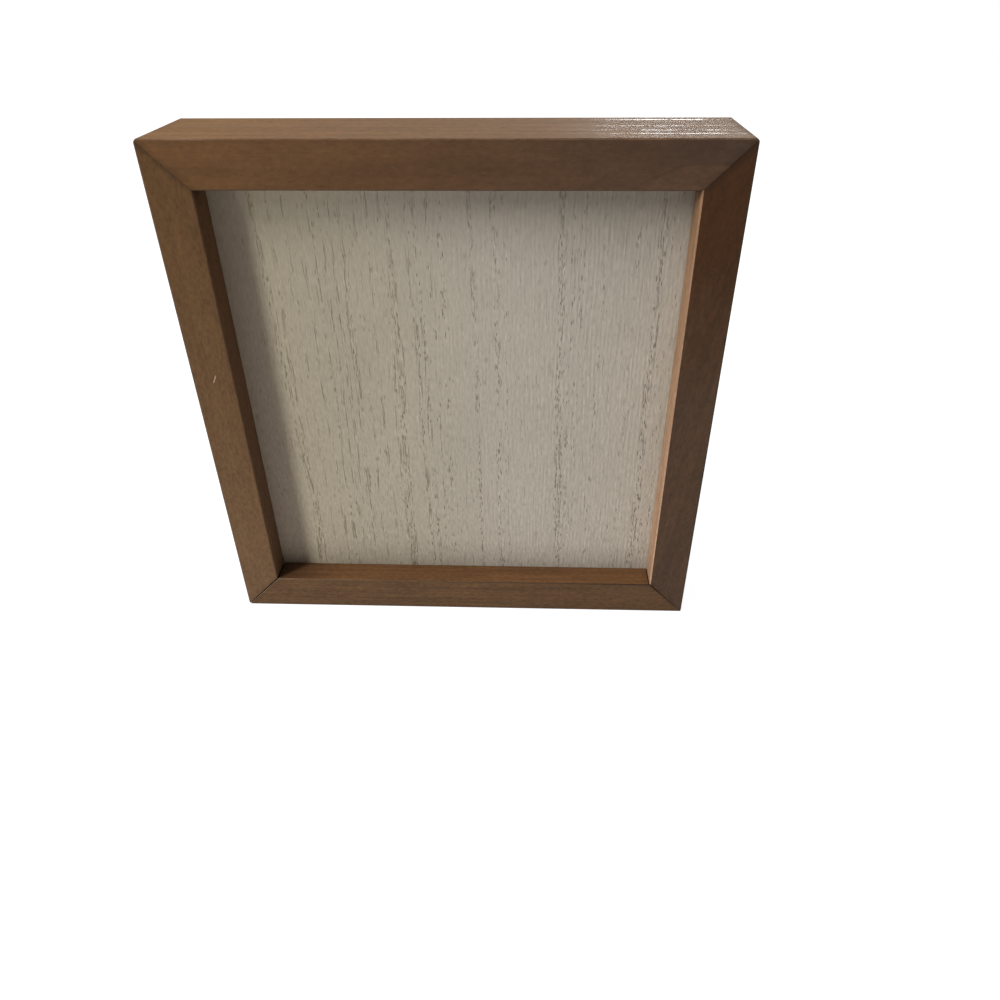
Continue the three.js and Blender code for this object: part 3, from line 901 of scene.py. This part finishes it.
filled = ash.spread(gaps, 0.36, 0.6, 0.5, 1.3)
beads = ash.spread(ash.noise((900, 1, 520), 2, 0.6), 0.34, 0.54, 0.55, 1.0)
shares = ring_shares(ash, across, (0.05, 0.05))
long_share, short_share = (ash.times(share, filled) for share in shares)
long_pores = pores(ash, across, 0.5 * MM, 14 * MM, long_share, 3.3)
short_pores = pores(ash, across, 0.65 * MM, 3.2 * MM, short_share, 11.7)
pore = ash.times(ash.maths("MAXIMUM", ash.times(long_pores, 0.85), short_pores), beads)
white_share = ash.maths("ADD", ash.times(ash.maths("MAXIMUM", long_share, short_share), 0.5), 0.1)
white = pores(ash, across, 0.6 * MM, 5 * MM, white_share, 23.1)
# painted shade darkens the upper right, and painted light brightens the upper left
thin = ash.times(ash.ramp(ash.x, 0, 60), ash.ramp(ash.z, 120, 180))
painted_light_upper_left = ash.times(ash.ramp(ash.x, 15, -45), ash.ramp(ash.z, 173, 179), off_painted_shadow)
light = ash.times(
    ash.spread(upwards, 0, 1, 1.05, 0.95),
    # painted shade towards the bottom edge, under the bottom rail
    ash.ramp(ash.z, 18, 30, 0.84, 1.0),
    ash.spread(thin, 0, 1, 1.0, 0.86),
    ash.spread(painted_light_upper_left, 0, 1, 1.0, 1.36),
    ash.waver(cloud, 0.04),
    ash.waver(tooth, ash.spread(upwards, 0, 1, 0.16, 0.08)),
    ash.waver(hair, ash.spread(right, 0, 1, 0.05, 0.1)),
    ash.spread(brushed, -1, 1, 0.93, 1.07),
    ash.spread(white, 0, 1, 1.0, 1.16),
)
pore_tone = ash.mix(right, tone(92, 77, 54), tone(86, 76, 62))
clear = ash.spread(upwards, 0, 1, 1.0, 0.66)  # higher up the wash fills the pores more
wash = ash.mix(ash.times(pore, clear), ash.shade(wash, light), pore_tone)
ash.paint(wash)
ash.set(Roughness=ash.vary(hair, 0.62, 0.76))
ash.bump(hair, 0.03 * MM)
ash.bump(brushed, 0.02 * MM)
ash.bump(pore, -0.1 * MM)

board_edge = raw_wood("board_edge", (150, 118, 82), (178, 148, 108), 400, 0.85, shine=0.15)
print("panel finish has", len(ash.tree.nodes), "nodes")

# %% Model the panel
PANEL_EASE = 0.3 * MM


def model_sheet(name, node, finishes, ease):
    """A sheet with its edges broken. Its front takes the last finish."""
    sheet = start_block(name, *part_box(node))
    give(sheet, *finishes)
    break_edges(ease)
    edit()
    paint_faces(len(finishes) - 1, lambda f: f.normal.y < -0.3)
    edit(False)
    hand_over(sheet, node)


model_sheet("limed_panel", "display_panel", [board_edge, ash], PANEL_EASE)

# %% [markdown]
# ## Back board
# Hardboard is pressed from wood fibre on a wire screen, and the screen's weave stays on its rough side,
# which faces out here. Pale strands and dark specks lie in the brown fibre. The weave is so fine that
# it is relief in the finish. The broken edges are in the mesh.

# %% Hardboard
SCREEN_PITCH, BOARD_EASE = 1.7 * MM, 0.25 * MM
board = Finish("hardboard", Specular_IOR_Level=0.2)
fibre = board.noise(900, 4, 0.65)
blotch = board.noise(26, 4, 0.55)
speck = board.spread(board.noise(760, 2, 0.6), 0.62, 0.72)
strand = board.spread(board.noise(640, 3, 0.6, (7, 3, 5)), 0.56, 0.74)
brown = board.mix(fibre, tone(122, 88, 58), tone(170, 130, 90))
brown = board.shade(brown, board.waver(blotch, 0.1))
brown = board.mix(board.times(strand, 0.5), brown, tone(190, 154, 112))
brown = board.mix(board.times(speck, 0.6), brown, tone(84, 59, 40))
turns_to_metre = 2 * math.pi / SCREEN_PITCH
weave = board.times(
    board.maths("SINE", board.times(board.x, turns_to_metre)),
    board.maths("SINE", board.times(board.z, turns_to_metre)),
)
brown = board.shade(brown, board.spread(weave, -1, 1, 0.93, 1.05))
board.paint(brown)
board.set(Roughness=board.vary(fibre, 0.72, 0.9))
board.bump(weave, 0.05 * MM)
board.bump(fibre, 0.05 * MM)

model_sheet("hardboard_back", "back_board", [board], BOARD_EASE)

# %% [markdown]
# ## Steel finishes
# The buttons, screws, nails and the hanger are zinc plated: grey, with a crystal pattern, duller stains
# and fine rub marks. The V-nails are blued, nearly black. Plain metal of one roughness looks like
# plastic film, so noise moves the roughness up and down.

# %% Zinc and blued steel
def plated(name, pale, dark, rough, grain):
    steel = Finish(name, Metallic=1.0)
    crystal = steel.add("TexVoronoi", {"Vector": steel.place, "Scale": grain}).outputs["Color"]
    facet = steel.add("SeparateColor", {0: crystal}).outputs[0]
    rub = steel.noise((300, 300, 4000), 3, 0.6)
    stain = steel.noise(180, 4, 0.6)
    colour = steel.mix(steel.spread(facet, 0, 1, 0.0, 0.6), pale, dark)
    colour = steel.shade(colour, steel.spread(stain, 0.35, 0.7, 1.08, 0.74))
    steel.paint(colour)
    rubbed = steel.vary(rub, rough, rough + 0.14)
    steel.set(Roughness=steel.maths("ADD", rubbed, steel.times(facet, 0.06)))
    steel.bump(rub, 0.008 * MM)
    return steel


zinc = plated("zinc_steel", tone(178, 179, 178), tone(122, 125, 130), 0.28, 420)
blued = plated("blued_steel", tone(74, 80, 92), tone(52, 56, 66), 0.34, 700)
print("steel finishes:", zinc.material.name, blued.material.name)

# %% [markdown]
# ## Turn buttons
# A turn button is a strip of steel with round ends, bent up at its far end, so that a fingernail can
# catch it. It is cut from a block: the corners are rounded away, the tip is bent in three small turns,
# and the hole for the screw is drilled last. One is modelled at the origin and copied, and the two on
# the right are turned round, to point inwards too.

# %% Model one button
button_low, button_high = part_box("turn_button_upper_left")
BUTTON_THICK = 1.0 * MM
BUTTON_TIP = 4.0 * MM  # length of the bent end
BUTTON_HOLE = 1.8 * MM  # radius
TIP_TURNS, FOLD_PITCH = 3, 0.5 * MM
BUTTON_EASE = 0.16 * MM

end_radius = (button_high.z - button_low.z) / 2
reach = button_high.x - button_low.x - end_radius
tip_angle = math.atan2(button_high.y - button_low.y - BUTTON_THICK, BUTTON_TIP)
button = start_block("button", (-end_radius, 0, -end_radius), (reach, BUTTON_THICK, end_radius))
give(button, zinc)
edit()
pick("edges", lambda e: abs(e.verts[0].co.y - e.verts[1].co.y) > BUTTON_THICK / 2)
soften(end_radius - 2 * NEAR, 12)
folds = [reach - BUTTON_TIP + (step - 1) * FOLD_PITCH for step in range(TIP_TURNS)]
for fold in folds:
    slice_at((fold, 0, 0), (1, 0, 0))
for fold in folds:
    pick("verts", lambda v: v.co.x > fold + NEAR)
    turn = -tip_angle / TIP_TURNS
    bpy.ops.transform.rotate(value=turn, orient_axis="Z", center_override=(fold, 0, 0))
edit(False)
cut_out(button, [start_drill(BUTTON_HOLE, (0, -BUTTON_THICK, 0), 3 * BUTTON_THICK)])
break_edges(BUTTON_EASE)
print("button", [round(side / MM, 2) for side in button.dimensions], "mm")

# %% [markdown]
# ## Screws, nails and bumpers
# These are round, so each grows from a small disc: it is extruded along the axis and resized at every
# step, like a shape on a lathe. Spin would do the same from a drawn profile, but here each step is just
# a radius and a height.


# %% A helper for round pieces
def turn_piece(name, finish, profile, sides=32):
    """A round piece about Y. profile is a list of radius and y in mm, from its lower end up."""
    (radius, y), *steps = profile
    bpy.ops.mesh.primitive_circle_add(
        vertices=sides, radius=radius * MM, fill_type="NGON",
        location=(0, y * MM, 0), rotation=(-QUARTER, 0, 0),
    )
    piece = settle(name)
    give(piece, finish)
    edit()
    pick_all()
    for next_radius, next_y in steps:
        bpy.ops.mesh.extrude_region_move(TRANSFORM_OT_translate={"value": (0, (next_y - y) * MM, 0)})
        scale = next_radius / radius
        bpy.ops.transform.resize(value=(scale, 1, scale), center_override=(0, next_y * MM, 0))
        radius, y = next_radius, next_y
    pick_all()
    bpy.ops.mesh.normals_make_consistent(inside=False)
    edit(False)
    return piece


def dome(radius, start, height, steps=6):
    """Profile of a domed head, from its rim up to a small flat on top."""
    turns = [QUARTER * step / steps for step in range(steps)]
    return [(radius * math.cos(turn), start + height * math.sin(turn)) for turn in turns]


print("a dome has", len(dome(3, 0.6, 1.2)), "steps")

# %% Model a screw and a nail
CROSS_LONG, CROSS_WIDE, CROSS_DEEP = 3.4 * MM, 0.7 * MM, 1.0 * MM
HEAD_TOP = 1.8 * MM
screw_shape = [(0.12, -12), (1.2, -8.6), (1.5, -7.8), (1.5, 0), (2.8, 0), (3, 0.2)] + dome(3, 0.6, 1.2)
screw = turn_piece("screw", zinc, screw_shape)
blades = []
for turn in (0, QUARTER):
    blade = start_block("blade", (-CROSS_LONG / 2, HEAD_TOP - CROSS_DEEP, -CROSS_WIDE / 2),
                        (CROSS_LONG / 2, HEAD_TOP + CROSS_DEEP, CROSS_WIDE / 2))
    edit()
    pick("faces", lambda f: f.normal.y < -0.9)
    bpy.ops.transform.resize(value=(0.45, 1, 0.7), center_override=(0, HEAD_TOP - CROSS_DEEP, 0))
    edit(False)
    place_piece(blade, turn=turn)
    blades.append(blade)
cut_out(screw, blades)

nail_shape = [(0.06, -10), (0.75, -8), (0.75, 0), (1.65, 0), (1.8, 0.1)] + dome(1.8, 0.3, 0.4)
nail = turn_piece("nail", zinc, nail_shape)
print("screw", len(screw.data.polygons), "faces, nail", len(nail.data.polygons))

# %% Set the buttons, screws and nails
# degrees, as the driver left them
CROSS_TURNS = {"upper_left": 20, "lower_left": 65, "upper_right": -12, "lower_right": 38}
hardware_seat = button_low.y
screw_seat = hardware_seat + BUTTON_THICK + SEAT_GAP
for corner, cross_turn in CROSS_TURNS.items():
    node, screw_node = "turn_button_" + corner, "button_screw_" + corner
    pivot = middle_of(screw_node)
    turn = 0 if "left" in corner else 2 * QUARTER
    set_copy(button, "button_" + corner, node, pivot, hardware_seat, turn, body=node)
    set_copy(screw, "screw_" + corner, screw_node, pivot, screw_seat, math.radians(cross_turn))

hanger_low, hanger_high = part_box("sawtooth_hanger")
HANGER_THICK = 0.8 * MM
nail_seat = hanger_low.y + HANGER_THICK + SEAT_GAP
for side, turn in (("left", 0.4), ("right", 1.3)):
    node = "hanger_nail_" + side
    set_copy(nail, "nail_" + side, node, middle_of(node), nail_seat, turn)

# %% [markdown]
# ## Sawtooth hanger
# The hanger is pressed from thin sheet: two flat tabs that are nailed to the top rail and a raised
# middle with notches for a nail in the wall. A sheet piece is easiest as a flat grid whose columns are
# as wide as half a tooth: every second point of its lower edge goes up, the ends are drawn out, down
# and flat, and Solidify gives it the sheet's thickness.

# %% Model the hanger
TEETH, TOOTH_DEEP, TOOTH_PITCH = 7, 1.6 * MM, 3.0 * MM
HANGER_TAB, HANGER_RAMP = 8.0 * MM, 2.5 * MM
BEND_RADIUS, TAB_RADIUS, TOOTH_RADIUS, HANGER_EASE = 0.7 * MM, 1.2 * MM, 0.22 * MM, 0.12 * MM
half = hanger_high.x
foot = half - HANGER_TAB
crown = foot - HANGER_RAMP
rise = hanger_high.y - hanger_low.y - HANGER_THICK
toothed = TEETH * TOOTH_PITCH / 2
middle = Vector((0, hanger_low.y + rise, (hanger_low.z + hanger_high.z) / 2))

bpy.ops.mesh.primitive_grid_add(
    x_subdivisions=2 * TEETH, y_subdivisions=1, size=1, location=middle, rotation=(-QUARTER, 0, 0)
)
hanger = settle("hanger_plate", (2 * toothed, hanger_high.z - hanger_low.z, 1))
give(hanger, zinc)
edit()
pick("verts", lambda v: v.co.z < middle.z and round((v.co.x + toothed) / TOOTH_PITCH * 2) % 2)
lift(TOOTH_DEEP)
for end in (-1, 1):
    tip = toothed
    for out, down in ((crown, 0), (foot, -rise), (half, 0)):
        pick("edges", lambda e: all(abs(v.co.x - end * tip) < NEAR for v in e.verts))
        bpy.ops.mesh.extrude_edges_move(TRANSFORM_OT_translate={"value": (end * (out - tip), down, 0)})
        tip = out
pick("edges", lambda e: any(all(abs(abs(v.co.x) - b) < NEAR for v in e.verts) for b in (foot, crown)))
soften(BEND_RADIUS, 3)
pick("verts", lambda v: abs(v.co.x) > half - NEAR)
soften(TAB_RADIUS, 4, corners=True)
pick("verts", lambda v: abs(v.co.x) < toothed + NEAR and v.co.z < middle.z)
soften(TOOTH_RADIUS, 2, corners=True)
edit(False)
apply_modifier(hanger, "SOLIDIFY", thickness=HANGER_THICK, offset=1)
holes = [(x, hanger_low.y - MM, middle.z) for x in (-nail_at, nail_at)]
cut_out(hanger, [start_drill(NAIL_RADIUS + SEAT_GAP, hole, 3 * MM) for hole in holes])
break_edges(HANGER_EASE, least=50)
hand_over(hanger, "sawtooth_hanger")

# %% [markdown]
# ## Wall bumpers
# Two soft black dots keep the lower corners off the wall. They are moulded, so every edge is round.

# %% Model the bumpers
BUMPER_EASE = 0.4 * MM
rubber = Finish("black_rubber", Specular_IOR_Level=0.35)
grit = rubber.noise(1400, 3, 0.6)
dust = rubber.spread(rubber.noise(240, 4, 0.6), 0.5, 0.72)
rubber.paint(rubber.mix(rubber.times(dust, 0.35), tone(30, 30, 31), tone(96, 92, 86)))
rubber.set(Roughness=rubber.vary(grit, 0.55, 0.75))
rubber.bump(grit, 0.02 * MM)

bumper = turn_piece("bumper", rubber, [(4.5, 0), (4.5, 2), (3.5, 3.5)], 40)
break_edges(BUMPER_EASE, 4, least=25)
for side in ("left", "right"):
    node = "bumper_" + side
    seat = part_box(node)[0].y
    set_copy(bumper, "foot_" + side, node, middle_of(node), seat)
for master in (button, screw, nail, bumper):
    bpy.data.meshes.remove(master.data)

# %% [markdown]
# ## Pieces that keep their measured shape
# The spacer strips and the V-nails are plain bars, mostly hidden, and their measured meshes are right
# as they are. They only get a finish: sawn pine with its grain along each strip, and blued steel.

# %% Pine strips and V-nails
def bare_pine(grain):
    pine = Finish("bare_pine_" + grain.lower(), Roughness=0.75, Specular_IOR_Level=0.2)
    ring = pine.noise(along_grain(grain, 6, 260), 3, 0.5)
    saw = pine.noise(along_grain(grain, 900, 60), 2, 0.6)
    colour = pine.mix(pine.spread(ring, 0.35, 0.65), tone(214, 184, 140), tone(178, 138, 92))
    pine.paint(pine.shade(colour, pine.waver(saw, 0.05)))
    pine.bump(saw, 0.04 * MM)
    return pine


upright, level = bare_pine("Z"), bare_pine("X")
keep_shape = {"spacer_left": upright, "spacer_right": upright, "spacer_top": level, "spacer_bottom": level}
keep_shape.update({node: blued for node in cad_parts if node.startswith("v_nail")})
for node, finish in keep_shape.items():
    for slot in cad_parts[node].material_slots:
        slot.material = finish.material
print(len(keep_shape), "measured pieces have a finish of their own")
